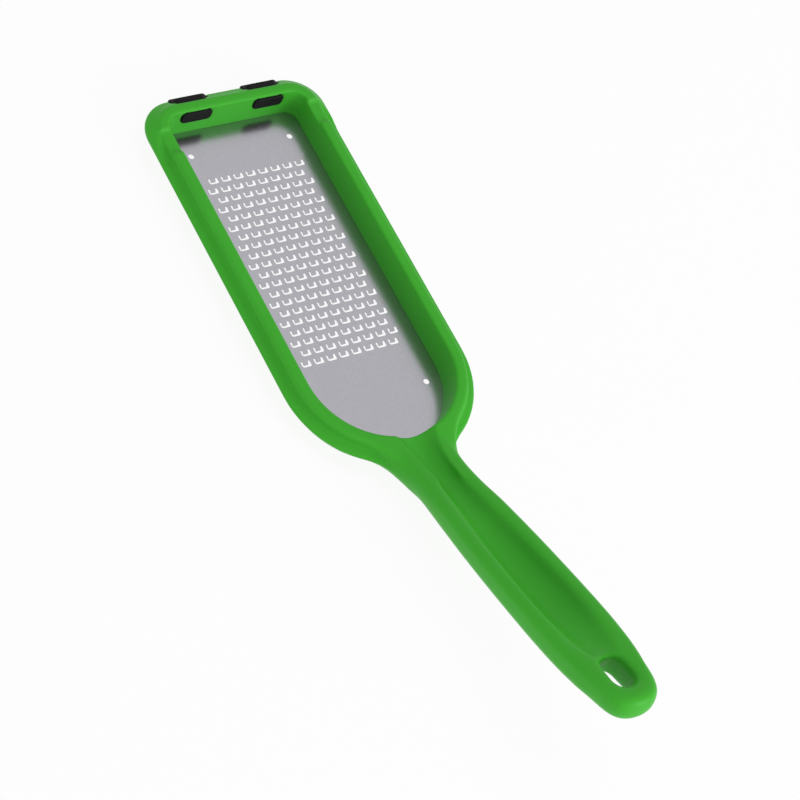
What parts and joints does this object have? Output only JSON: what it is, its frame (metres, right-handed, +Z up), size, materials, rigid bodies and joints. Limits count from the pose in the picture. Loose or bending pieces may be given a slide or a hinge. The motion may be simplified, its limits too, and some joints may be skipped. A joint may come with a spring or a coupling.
{
  "type": "rasp zester",
  "caption": "Hand-held rasp zester: a shallow plastic frame round an etched steel sheet of small teeth, with a sloping waisted handle, a hanging hole and rubber feet at the tip.",
  "frame": {"origin": "under the middle of the whole tool, on the plane of the frame's flat underside", "axes": "+Y from the handle to the tip, +Z up out of the tray that catches the zest, +X to the right"},
  "size_m": [0.0712, 0.2748, 0.0515],
  "materials": {
    "green_plastic": "satin moulded",
    "etched_steel": "satin",
    "black_rubber": "matte"
  },
  "bodies": {
    "root": {"frame_handle": "green_plastic", "blade": "etched_steel", "foot_left": "black_rubber", "foot_right": "black_rubber"}
  },
  "joints": []
}
